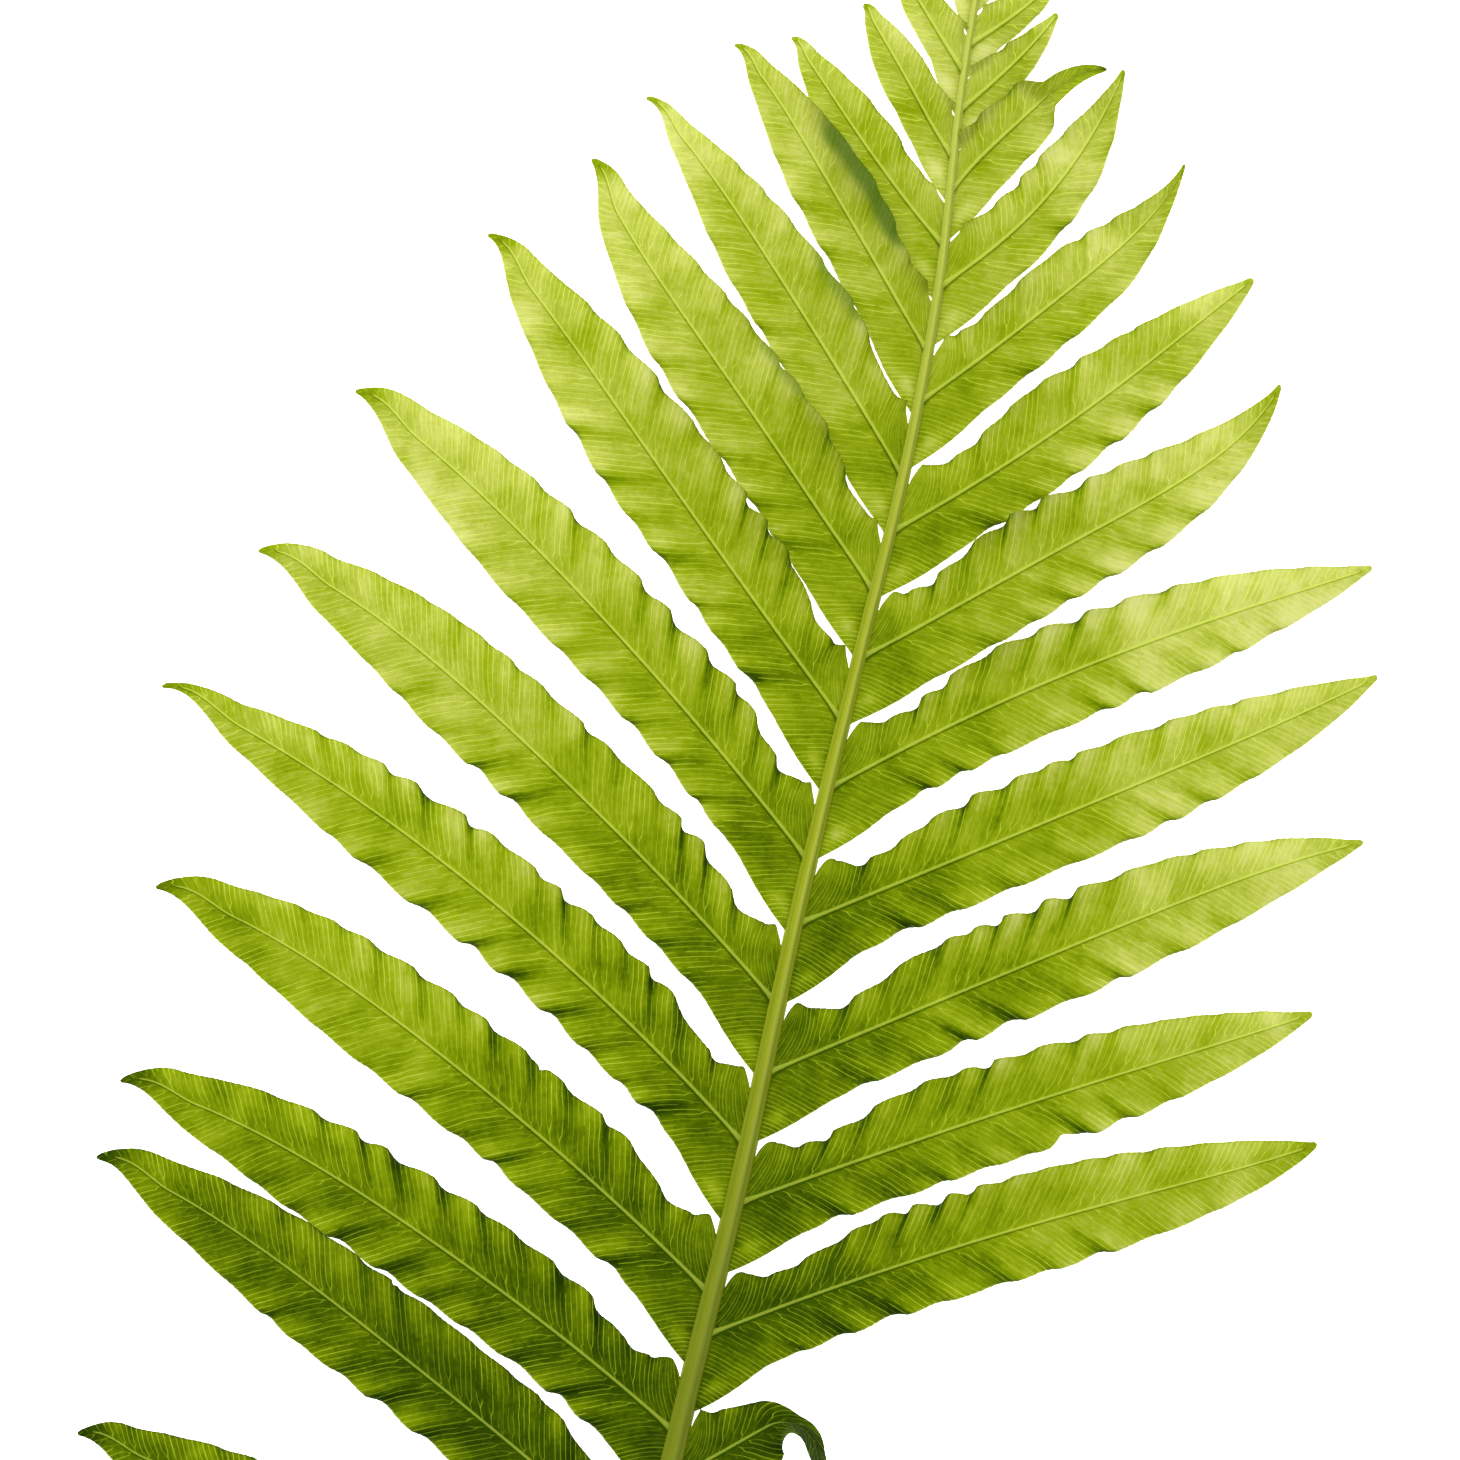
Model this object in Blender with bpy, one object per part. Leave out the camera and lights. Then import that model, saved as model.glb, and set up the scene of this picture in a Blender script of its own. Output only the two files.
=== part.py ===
"""A fern frond, cut and lying on its back: a rachis, two ranks of leaflets and a lobed tip.

The frond is drawn in its own plane in millimetres. X runs across it, Y runs along the rachis
towards the tip, and Y = 0 is the middle of the blade. Everything hangs from one empty, which
centres the frond and sets it down on Z = 0.
"""

from collections import namedtuple
from math import pi, radians, sin, cos

import bmesh
import bpy
import numpy as np
from mathutils import Vector

MM = 0.001

# The rachis: a tapering rod with a slight sway, arched off the ground between its two ends.
CUT_Y = -288.0
RACHIS_END_Y = 210.0
RACHIS_RADIUS = 1.8
RACHIS_TAPER = 0.0054
RACHIS_POINTS = 48
ARCH_HEIGHT = 6.0
ARCH_SHARPNESS = 1.5
SWAY = ((-288, 4.0), (-230, 1.0), (-170, -2.0), (-110, -1.8), (-60, -0.3), (0, 0.0),
        (50, 1.4), (90, 2.6), (125, 1.7), (165, -2.0), (210, -4.2))

# The leaflets' blades.
BLADE_THICKNESS = 0.5
CLEARANCE = 0.4
WIDEST_HALF = 10.5
MEDIUM_HALF = 4.4
MEDIUM_HALF_PER_LENGTH = 0.058
SHORT_HALF = 0.3
SHORT_HALF_PER_LENGTH = 0.155
BLADE_END_HALF = 0.5
LEFT_BLUNTNESS = 0.8
RIGHT_BLUNTNESS = 0.93

# Their bases: the upper corner is an ear with a bay beyond it, and the lower one a wedge.
EAR_SHARE = 0.43
WEDGE_SHARE = 0.52
BASE_REACH = 14.0
BAY_SHARE = 0.64
SWAY_REACH = 8.0

# How they stand off the ground: each leaves the rachis above its middle, lifts and droops.
ATTACH_SHARE = 0.3
LIFT_SLOPE = 0.075
BLADE_TILT = 5.0
WAVE_HEIGHT = 1.2
WAVE_LENGTH = 27.0
LOWEST_MIDDLE = 0.3

# Where a bent leaflet starts to turn down towards the stalk, and over how much of its length.
BEND_START = 0.48
BEND_OVER = 0.25

# How finely they are divided.
ROW_STEP = 8.0
FEWEST_ROWS = 4
COLUMNS = 4

# The lobed tip beyond the last leaflets.
TIP_LENGTH = 32.0
TIP_HALF_WIDTH = 6.5
TIP_TAPER = 0.7
TIP_LOBES = 3
TIP_LOBE_DEPTH = 0.35
TIP_LOBE_START = 0.3
TIP_LEAN = 1.5
TIP_SLANT = 35.0
TIP_DROOP = 0.6
TIP_ROWS = 18
TIP_COLUMNS = 6

# Linear colours.
LEAFLET_GREEN = (0.36, 0.46, 0.03)
RACHIS_GREEN = (0.30, 0.34, 0.05)
LEAF_ROUGHNESS = 0.45

# base: where the midrib leaves the rachis; length: base to tip; angle: degrees from the
# rachis; bow: how far the middle of the midrib swings towards the frond's tip; hook: how far
# its outer part swings the same way; tilt: extra degrees that the upper margin is raised;
# wide: its width against others of its length; twist: degrees more by the leaflet's tip;
# bend: degrees that its outer half is turned down towards the stalk.
WORDS = "base length angle bow hook tilt wide twist bend"
Leaflet = namedtuple("Leaflet", WORDS, defaults=(0, 0, 0, 1.0, 0, 0))

LEFT = (
    Leaflet(-217.0, 70, 80, 1),
    Leaflet(-191.0, 98, 78, 2, 1),
    Leaflet(-164.0, 121, 76, 2, 1),
    Leaflet(-135.5, 137, 66, 4, 2),
    Leaflet(-109.0, 132, 70, 6, 2),
    Leaflet(-80.5, 138, 66, 6, 2.3, wide=1.03),
    Leaflet(-50.0, 149, 64, 7, 0.6, wide=0.98),
    Leaflet(-21.0, 138, 61, 5.2, 2.4),
    Leaflet(8.0, 131, 56, 3.8, 1),
    Leaflet(36.5, 121, 48, 0, 0.8, wide=1.02),
    Leaflet(63.0, 104, 45, -0.6, -1.4, wide=1.02),
    Leaflet(87.0, 92, 46, 1.5, 1),
    Leaflet(112.5, 73, 44, 0.7, 1, tilt=8),
    Leaflet(134.0, 52, 48, -1, 0.5),
    Leaflet(151.5, 36, 42, 0),
    Leaflet(169.0, 27, 44, 0),
    Leaflet(184.5, 18, 43, 0),
    Leaflet(196.0, 14, 40, 0),
    Leaflet(204.0, 11, 38, 0),
)
RIGHT = (
    Leaflet(-203.5, 72, 79, 1),
    Leaflet(-176.5, 97, 74, 2, 1),
    Leaflet(-148.0, 114, 69, 2),
    Leaflet(-119.0, 48, 49, 0, wide=1.4, twist=60, bend=105),
    Leaflet(-89.0, 129, 61, 2.5, -1),
    Leaflet(-62.0, 122, 60, 1.2, -0.3),
    Leaflet(-35.5, 129, 57, 1.4, 1.2, wide=1.02),
    Leaflet(-5.0, 127, 55, -0.5, -0.5),
    Leaflet(23.0, 118, 56, 3.5, -0.5),
    Leaflet(49.5, 101, 45, -2.5, -3.4, wide=1.10, twist=22),
    Leaflet(75.5, 89, 43, -2.4, 0.5, wide=1.10),
    Leaflet(102.0, 72, 36, -2.4, -1.8, wide=1.09, twist=48),
    Leaflet(125.0, 58, 28, -4.5, wide=1.06, twist=30),
    Leaflet(145.0, 40, 40, 1.8, 1.9, twist=70),
    Leaflet(161.0, 28, 33, -1),
    Leaflet(174.5, 24, 40, -1),
    Leaflet(187.5, 17, 38, 0),
    Leaflet(197.0, 14, 40, 0),
    Leaflet(204.5, 11, 38, 0),
)


def ease(t):
    """0 below 0, 1 above 1, and a smooth S between."""
    t = np.clip(t, 0.0, 1.0)
    return t * t * (3.0 - 2.0 * t)


def sway(y):
    """The rachis's X at Y: a cubic through the sway's points, level with its neighbours."""
    knots = np.array(SWAY, dtype=float)
    slopes = np.gradient(knots[:, 1], knots[:, 0])
    y = np.asarray(y, dtype=float)
    i = np.clip(np.searchsorted(knots[:, 0], y) - 1, 0, len(knots) - 2)
    span = knots[i + 1, 0] - knots[i, 0]
    t = (y - knots[i, 0]) / span
    rise = (1 - t) ** 2 * (1 + 2 * t) * knots[i, 1] + t ** 2 * (3 - 2 * t) * knots[i + 1, 1]
    return rise + span * (t * (1 - t) ** 2 * slopes[i] - t ** 2 * (1 - t) * slopes[i + 1])


def rachis_radius(y):
    return RACHIS_RADIUS - RACHIS_TAPER * np.asarray(y, dtype=float)


def rachis_height(y):
    """The rachis's middle: its radius, and an arch that meets the ground at both ends."""
    along = np.clip((np.asarray(y, dtype=float) - CUT_Y) / (RACHIS_END_Y - CUT_Y), 0.0, 1.0)
    return rachis_radius(y) + ARCH_HEIGHT * np.sin(pi * along) ** ARCH_SHARPNESS


def half_width(leaflet):
    """Half the blade's width: the short leaflets by the tip are narrow, the long ones alike."""
    short = SHORT_HALF + SHORT_HALF_PER_LENGTH * leaflet.length
    medium = MEDIUM_HALF + MEDIUM_HALF_PER_LENGTH * leaflet.length
    return leaflet.wide * min(WIDEST_HALF, medium, short)


def outline(leaflet, side, u):
    """The share of the half width left at u: long leaflets stay full for longer."""
    fullness = 2.3 + 0.6 * ease((leaflet.length - 30.0) / 60.0)
    fullness += 1.9 * ease((leaflet.length - 90.0) / 45.0)
    return (1.0 - u ** fullness) ** (LEFT_BLUNTNESS if side < 0 else RIGHT_BLUNTNESS)


def bent(leaflet, chord):
    """How far on, how far down and how far round a bent leaflet has gone: an arc, then straight."""
    angle = radians(leaflet.bend)
    first = BEND_START * leaflet.length
    over = BEND_OVER * leaflet.length
    if angle == 0.0:
        return chord, 0.0 * chord, 0.0 * chord
    turned = angle * np.clip((chord - first) / over, 0.0, 1.0)
    beyond = np.maximum(chord - first - over, 0.0)
    ahead = np.minimum(chord, first) + over / angle * np.sin(turned) + beyond * cos(angle)
    down = over / angle * (1.0 - np.cos(turned)) + beyond * sin(angle)
    return ahead, down, turned


def leaflet_points(leaflet, side, room_above, room_below, u, v):
    """X, Y, Z of the blade's middle surface.

    u runs from the rachis (0) to the leaflet's tip (1) and v from its lower margin (-1) to its
    upper one (1). Ribs cross the midrib: they lie along the rachis at u = 0 and turn square
    to the midrib over the base's reach.
    """
    angle = radians(leaflet.angle)
    start = (rachis_radius(leaflet.base) + CLEARANCE) / sin(angle)
    chord = start + (leaflet.length - start) * u
    offset = (4.0 * leaflet.bow * u + 12.2 * leaflet.hook * u ** 4) * (1.0 - u)
    ahead, down, turned = bent(leaflet, chord)
    mid_x = ahead * sin(angle) - (offset - down) * cos(angle)
    mid_y = ahead * cos(angle) + (offset - down) * sin(angle)

    slope = leaflet.bow * 4.0 * (1.0 - 2.0 * u) / leaflet.length
    reach = min(BASE_REACH, 2.0 + 0.2 * leaflet.length)
    turn = ease((chord - start) / reach)
    rib = np.sign(v) * pi / 2 + turn * (pi / 2 - angle + np.arctan(slope) - turned)

    bay = BAY_SHARE + (1.0 - BAY_SHARE) * ease((chord - start) / (2.0 * reach) - 0.4)
    blade = half_width(leaflet) * outline(leaflet, side, u) * np.where(v > 0.0, bay, 1.0)
    foot = np.where(v > 0.0, EAR_SHARE * room_above, WEDGE_SHARE * room_below)
    width = np.maximum(foot + (blade - foot) * turn, BLADE_END_HALF)
    tilt = radians(BLADE_TILT + leaflet.tilt) * turn
    roll = tilt + radians(leaflet.twist) * ease((u - 0.5) / 0.4)
    across = np.abs(v) * width

    x = mid_x + across * np.cos(roll) * np.cos(rib)
    y = leaflet.base + mid_y + across * np.cos(roll) * np.sin(rib)
    near = np.exp(-(x / SWAY_REACH) ** 2)
    lean = sway(leaflet.base) + near * (sway(y) - sway(leaflet.base))

    attach = rachis_height(leaflet.base) + ATTACH_SHARE * rachis_radius(leaflet.base)
    lift = LIFT_SLOPE * leaflet.length * u * (1.0 - u)
    turned_up = sin(radians(leaflet.twist)) * width * u ** 4
    wave = WAVE_HEIGHT * np.sin(2 * pi * chord / WAVE_LENGTH + v + leaflet.base)
    z = attach * (1.0 - u ** 2) + lift + turned_up + v * width * np.sin(roll)
    z += wave * turn * v ** 2 * (1.0 - u ** 3)
    z = LOWEST_MIDDLE + np.log1p(np.exp(3.0 * (z - LOWEST_MIDDLE))) / 3.0
    return np.stack([side * x + lean, y, z], axis=-1)


def tip_points(u, v):
    """X, Y, Z of the lobed tip: slanting ribs on an axis that carries the rachis on."""
    y = RACHIS_END_Y + CLEARANCE + TIP_LENGTH * u
    phase = 2 * pi * (TIP_LOBES * u - TIP_LOBE_START)
    lobes = 1.0 + TIP_LOBE_DEPTH * (1.0 - u) * np.cos(phase)
    half = TIP_HALF_WIDTH * (1.0 - u) ** TIP_TAPER * lobes * ease(0.3 + 3.0 * u)
    width = np.maximum(half, BLADE_END_HALF)
    slant = radians(TIP_SLANT) * (1.0 - u)
    x = sway(RACHIS_END_Y) + TIP_LEAN * u + v * width * np.cos(slant)
    z = rachis_height(RACHIS_END_Y) * (1.0 - TIP_DROOP * u) + 0.0 * v
    return np.stack([x, y + np.abs(v) * width * np.sin(slant), z], axis=-1)


def leaf_green(name, colour):
    material = bpy.data.materials.new(name)
    material.use_nodes = True
    shader = material.node_tree.nodes["Principled BSDF"]
    shader.inputs["Base Color"].default_value = (*colour, 1.0)
    shader.inputs["Roughness"].default_value = LEAF_ROUGHNESS
    shader.inputs["Metallic"].default_value = 0.0
    return material


def add_sheet(name, rows, columns, points, holder):
    """A grid shaped by points(u, v) and thickened evenly about itself."""
    sheet = bmesh.new()
    bmesh.ops.create_grid(sheet, x_segments=rows, y_segments=columns, size=1.0)
    grid = np.array([vert.co for vert in sheet.verts])
    shaped = points((grid[:, 0] + 1.0) / 2.0, grid[:, 1]) * MM
    for vert, place in zip(sheet.verts, shaped):
        vert.co = place
    mesh = bpy.data.meshes.new(name)
    sheet.to_mesh(mesh)
    sheet.free()
    mesh.shade_smooth()
    mesh.materials.append(leaf_green(name, LEAFLET_GREEN))
    piece = bpy.data.objects.new(name, mesh)
    bpy.context.scene.collection.objects.link(piece)
    thicken = piece.modifiers.new("thickness", "SOLIDIFY")
    thicken.thickness = BLADE_THICKNESS * MM
    thicken.offset = 0.0
    piece.parent = holder
    return piece


def add_rachis(holder):
    """A tapering round rod along the sway and the arch, cut flat at its lower end."""
    curve = bpy.data.curves.new("rachis", "CURVE")
    curve.dimensions = "3D"
    curve.bevel_depth = MM
    curve.bevel_resolution = 3
    curve.use_fill_caps = True
    spline = curve.splines.new("POLY")
    spline.points.add(RACHIS_POINTS - 1)
    for point, y in zip(spline.points, np.linspace(CUT_Y, RACHIS_END_Y, RACHIS_POINTS)):
        point.co = (sway(y) * MM, y * MM, rachis_height(y) * MM, 1.0)
        point.radius = rachis_radius(y)
    curve.materials.append(leaf_green("rachis", RACHIS_GREEN))
    rachis = bpy.data.objects.new("rachis", curve)
    bpy.context.scene.collection.objects.link(rachis)
    rachis.parent = holder
    return rachis


def add_rank(word, side, leaflets, holder):
    """One side's leaflets, numbered from the stalk, each with its share of the rachis."""
    rooms = np.diff([leaflet.base for leaflet in leaflets])
    rooms = [rooms[0], *rooms, rooms[-1]]
    pieces = []
    for i, leaflet in enumerate(leaflets):
        def points(u, v):
            return leaflet_points(leaflet, side, rooms[i + 1], rooms[i], u, v)

        rows = max(FEWEST_ROWS, round(leaflet.length / ROW_STEP))
        pieces.append(add_sheet(f"leaflet_{word}_{i + 1:02d}", rows, COLUMNS, points, holder))
    return pieces


def bounds(pieces):
    """The lowest and highest corners of the pieces as they are finally shaped."""
    depsgraph = bpy.context.evaluated_depsgraph_get()
    corners = []
    for piece in pieces:
        final = piece.evaluated_get(depsgraph)
        shape = final.to_mesh()
        corners += [final.matrix_world @ vert.co for vert in shape.vertices]
        final.to_mesh_clear()
    corners = np.array(corners)
    return corners.min(axis=0), corners.max(axis=0)


def main():
    for old in list(bpy.data.objects):
        bpy.data.objects.remove(old, do_unlink=True)
    holder = bpy.data.objects.new("frond", None)
    bpy.context.scene.collection.objects.link(holder)
    pieces = [add_rachis(holder)]
    pieces += add_rank("left", -1.0, LEFT, holder)
    pieces += add_rank("right", 1.0, RIGHT, holder)
    pieces.append(add_sheet("frond_tip", TIP_ROWS, TIP_COLUMNS, tip_points, holder))
    low, high = bounds(pieces)
    holder.location = Vector((-(low[0] + high[0]) / 2, -(low[1] + high[1]) / 2, -low[2]))


main()
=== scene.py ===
from math import cos, pi, radians, sin

import bpy
import numpy as np
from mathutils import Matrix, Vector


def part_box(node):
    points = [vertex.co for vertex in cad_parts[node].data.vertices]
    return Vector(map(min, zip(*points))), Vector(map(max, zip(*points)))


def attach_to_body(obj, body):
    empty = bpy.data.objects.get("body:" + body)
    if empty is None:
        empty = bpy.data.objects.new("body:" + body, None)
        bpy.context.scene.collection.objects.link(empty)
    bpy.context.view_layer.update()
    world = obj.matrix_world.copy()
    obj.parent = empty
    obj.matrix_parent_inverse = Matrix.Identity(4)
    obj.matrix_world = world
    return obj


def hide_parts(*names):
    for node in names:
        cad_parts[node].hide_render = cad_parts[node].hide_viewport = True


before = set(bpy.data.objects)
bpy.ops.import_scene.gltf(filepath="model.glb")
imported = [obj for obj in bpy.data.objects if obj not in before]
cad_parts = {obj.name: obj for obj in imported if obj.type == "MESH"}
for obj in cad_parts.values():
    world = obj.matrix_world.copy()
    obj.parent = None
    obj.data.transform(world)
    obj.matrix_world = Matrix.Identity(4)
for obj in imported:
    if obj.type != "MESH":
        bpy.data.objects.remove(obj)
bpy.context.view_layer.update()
print("frond: frame loaded,", len(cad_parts), "nodes")

# The frond is drawn in millimetres in its own plane: X across it, Y along the rachis towards
# the tip, Y = 0 at the middle of the blade. placeOf() carries it to where the frame has it.
mm = 0.001

rachis = {
    "cutY": -288.0,
    "endY": 210.0,
    "radius": 1.8,
    "taper": 0.0054,
    "archHeight": 6.0,
    "archSharpness": 1.5,
    "sway": ((-288, 4.0), (-230, 1.0), (-170, -2.0), (-110, -1.8), (-60, -0.3), (0, 0.0),
             (50, 1.4), (90, 2.6), (125, 1.7), (165, -2.0), (210, -4.2)),
    "rowStep": 0.55,
    "columns": 64,
    "ridgeHeight": 0.10,
    "ridgeWidth": 0.30,
    "grooveDepth": 0.07,
    "grooveAt": 0.62,
    "grooveWidth": 0.24,
    "keelDepth": 0.05,
    "keelWidth": 0.5,
    "profileShare": 0.985,
    "wanders": ((0.012, 0.21, 1.0), (0.010, 0.53, 0.0)),
    "endShares": (0.35, 0.7, 0.93),
    "endOverrun": 0.2,
}

# A run says where a change starts and over how much. An ear is how high it stands at the rachis
# and at its corner, as shares of the room above, how far out the corner is, and the power and
# root that round it. A bay is its share of the full width, its spread in base reaches, and its
# delay as a share of that spread. Paler is how much paler the outer end is, TipDim how much the
# very end darkens, and Calm how much weaker the folds are on the upper leaflets.
blade = {
    "widestHalf": 10.5,
    "mediumHalf": 4.4,
    "mediumHalfPerLength": 0.058,
    "shortHalf": 0.3,
    "shortHalfPerLength": 0.155,
    "endHalf": 0.35,
    "leftBeak": 1.5,
    "rightBeak": 0.0,
    "baseReach": 14.0,
    "leftEar": (0.340, 0.404, 3.6, 2.0, 0.60),
    "rightEar": (0.318, 0.400, 2.6, 2.0, 0.5),
    "earFall": 0.50,
    "earRound": 2.5,
    "leftBay": (0.53, 1.9, 0.28),
    "rightBay": (0.54, 2.4, 0.26),
    "fullness": 2.3,
    "mediumFuller": 0.6,
    "mediumRun": (30.0, 60.0),
    "longFuller": 1.9,
    "longRun": (90.0, 45.0),
    "waist": 0.65,
    "waistWidth": 0.2,
    "wedge": 0.545,
    "swayReach": 8.0,
    "attachShare": 0.3,
    "liftSlope": 0.075,
    "tilt": 5.0,
    "lowestMiddle": 0.35,
    "highestMiddle": 11.9,
    "rowStep": 0.42,
    "thickness": 0.34,
    "marginThickness": 0.16,
    "midribHalf": 0.40,
    "midribTaper": 0.50,
    "midribHeight": 0.22,
    "toothPitch": 1.5,
    "toothDepth": 0.11,
    "slowWave": 0.5,
    "slowWaveLength": 31.0,
    "tipRound": 0.6,
    "foldMargin": 20.0,
    "foldSteps": (0.72, 0.56),
    "foldStrengths": (0.15, 1.05, 1.3),
    "foldRun": (6.0, 9.0),
    "foldFade": 0.85,
    "foldFadeRun": (0.50, 0.42),
    # how strong the painted highlight and the painted shade on the folds are
    "foldLight": 0.45,
    "foldDark": 1.4,
    "crestPower": 1.7,
    # where on each fold the painted shade and the painted highlight lie, and how wide
    "paintedShadeBell": (0.84, 0.19),
    "paintedLightBell": (0.22, 0.24),
    "pullSkew": 1.7,
    "pullPower": 1.4,
    "pullGrow": 5.0,
    "tones": ((-150, 0.17), (-105, 0.175), (-50, 0.235), (0, 0.308), (40, 0.400), (75, 0.450),
              (120, 0.540), (170, 0.650), (215, 0.69)),
    "leftPaler": 0.235,
    "rightPaler": 0.37,
    "leftTipDim": 0.27,
    "rightTipDim": 0.16,
    "leftCalm": 0.55,
    "rightCalm": 0.25,
    "calmRun": (20.0, 60.0),
    "leastRows": 48,
    "extraRows": 12,
    "crowdOver": 5.0,
    "crowdShare": 0.75,
    "startShare": 0.62,
    "beakLength": 130.0,
    "beakRun": (0.88, 0.12),
    "leastReach": 2.0,
    "reachPerLength": 0.2,
    "wedgeReach": 0.75,
    "confluentRun": (80.0, 50.0),
    "confluentAttach": 0.9,
    "confluentBay": 0.16,
    "confluentEar": 0.4,
    "earFallFrom": 0.6,
    "earRoom": 27.0,
    "earLeast": 0.1,
    "toothDrift": 0.3,
    "toothDriftRate": 0.7,
    "toothRun": (1.0, 6.0),
    "toothBand": (0.86, 0.12),
    "toothWidth": 3.0,
    "nickBand": (0.3, 0.7),
    "leastHalf": 0.02,
    "lowestSharpness": 3.0,
    "highestSharpness": 2.5,
    "midribFoot": 0.5,
    "midribFootReach": 2.0,
    "midribUnder": 1.3,
    "leastThickness": 0.12,
    "veinLean": 0.8,
    "wedgeVeinLean": 0.75,
    "veinStart": 1.0,
    "veinStartReach": 1.5,
    "toneSpread": 0.05,
    "palerLowRun": (-110.0, 60.0),
    "palerHighLoss": 0.45,
    "palerHighRun": (90.0, 40.0),
    "palerOutRun": (-6.0, 115.0),
    # painted shade on turned ends
    "twistShade": 0.35,
    "tipDimRun": (0.93, 0.07),
    "spotAlong": 2.2,
    "spotInside": 4.0,
    "spotSize": 1.7,
    "spotPaler": 0.22,
    "overlapEnd": 8.0,
    "overlapSoft": 2.4,
    "endEdgeRun": (0.955, 0.03),
    "ribEnd": 3.0,
    "ribEndRun": (0.97, 0.025),
}

# Folds along the margins: first and last spacing, how far they pull the margin in, how high
# they lift it, how dark the painted shade on them is. Then how full that side is, how much more
# so beyond the middle, and how it narrows to the tip: the larger, the more pointed.
foldWords = ("near", "far", "pull", "lift", "deep", "fuller", "swell", "blunt")
folds = {
    ("left", 1): dict(zip(foldWords, (8.0, 11.0, 1.5, 0.8, 0.85, 1.06, 0.02, 0.80))),
    ("left", -1): dict(zip(foldWords, (10.0, 13.0, 1.1, 0.5, 0.7, 1.0, 0.15, 0.80))),
    ("right", 1): dict(zip(foldWords, (7.0, 11.0, 1.5, 0.8, 0.85, 1.02, 0.02, 1.00))),
    ("right", -1): dict(zip(foldWords, (10.0, 12.5, 1.2, 0.7, 0.85, 0.96, 0.08, 0.85))),
}
# Torn places: which margin, how far along, half as wide as this, and this deep.
nicks = {
    "leaflet_right_06": (-1, 64.0, 1.9, 1.5),
    "leaflet_left_06": (1, 52.0, 0.6, 0.9),
    "leaflet_left_04": (1, 71.0, 0.5, 0.7),
}
foldSlant = 0.8
foldSkew = 1.6

# Painted shade where a leaflet lies over its neighbour and the layer is doubled: which side,
# from where to where, how deep, and how strong the painted shade is.
overlaps = {
    "leaflet_left_13": (1, 15.0, 53.0, 4.3, 0.62),
    "leaflet_left_12": (1, 24.0, 50.0, 3.0, 0.36),
    "leaflet_left_11": (1, 33.0, 58.0, 2.6, 0.30),
}
# Turned ends: the whole turn in degrees, where along the leaflet it starts, and over how much.
twists = {
    "leaflet_right_04": (66, 0.36, 0.24),
    "leaflet_right_10": (22, 0.66, 0.32),
    "leaflet_right_12": (48, 0.62, 0.36),
    "leaflet_right_13": (30, 0.62, 0.36),
    "leaflet_right_14": (58, 0.56, 0.13),
}
# A leaflet whose outer part is turned down towards the stalk: the turn in degrees, and where
# along the leaflet it starts and over how much.
bends = {"leaflet_right_04": (105, 0.48, 0.25)}

# Each row is one leaflet, from the stalk up: where its midrib leaves the rachis, its length,
# its angle off the rachis, the bow and the outer hook of its midrib, its tilt, how wide and how
# pointed it is against the others of its length.
rankNames = ("base", "length", "angle", "bow", "hook", "tilt", "wide", "point")
ranks = {
    "left": (
        (-217.0, 70, 80, 1, 0, 0, 1, 1),
        (-191.0, 98, 78, 2, 1, 0, 1, 1),
        (-164.0, 121, 76, 2, 1, 0, 1, 1),
        (-135.5, 137, 66, 4, 2, 0, 1, 1),
        (-109.0, 132, 70, 6, 2, 0, 1, 1),
        (-80.5, 138, 66, 6, 2.3, 0, 1.03, 1),
        (-50.0, 149, 64, 7, 0.6, 0, 0.98, 1.45),
        (-21.0, 138, 61, 5.2, 2.4, 0, 1, 1),
        (8.0, 131, 56, 3.8, 1, 0, 1, 1),
        (36.5, 121, 48, 0, 0.8, 0, 1.02, 1.15),
        (63.0, 104, 45, -0.6, -1.5, 0, 1.02, 1.05),
        (87.0, 92, 46, 1.5, 1, 0, 1, 1.3),
        (112.5, 73, 44, 0.7, 1, 8, 1, 1.1),
        (134.0, 52, 48, -1, 0.5, 0, 1, 1.1),
        (151.5, 36, 42, 0, 0, 0, 1, 1),
        (169.0, 27, 44, 0, 0, 0, 1, 1),
        (184.5, 18, 43, 0, 0, 0, 1, 1),
        (196.0, 14, 40, 0, 0, 0, 1, 1),
        (204.0, 11, 38, 0, 0, 0, 1, 1),
    ),
    "right": (
        (-203.5, 72, 79, 1, 0, 0, 1, 1),
        (-176.5, 97, 74, 2, 1, 0, 1, 1),
        (-148.0, 114, 69, 2, 0, 0, 1, 1),
        (-119.0, 48, 49, 0, 0, 0, 1.4, 1),
        (-89.0, 129, 61, 2.5, -1, 0, 1, 0.9),
        (-62.0, 122, 60, 1.2, -0.3, 0, 1, 0.95),
        (-35.5, 129, 57, 1.4, 1.2, 0, 1.02, 1),
        (-5.0, 127, 55, -0.5, -0.5, 0, 1, 1),
        (23.0, 118, 56, 3.5, -0.5, 0, 1, 1),
        (49.5, 101, 45, -2.5, -3.4, 0, 1.10, 0.95),
        (75.5, 89, 43, -2.4, 0.5, 0, 1.10, 0.9),
        (102.0, 72, 36, -2.4, -1.8, 0, 1.09, 1),
        (125.0, 58, 28, -4.5, 0, 0, 1.06, 1),
        (145.0, 40, 40, 1.8, 1.9, 0, 1.12, 0.65),
        (161.0, 28, 33, -1, 0, 0, 1, 1),
        (174.5, 24, 40, -1, 0, 0, 1, 1),
        (187.5, 17, 38, 0, 0, 0, 1, 1),
        (197.0, 14, 40, 0, 0, 0, 1, 1),
        (204.5, 11, 38, 0, 0, 0, 1, 1),
    ),
}

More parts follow.
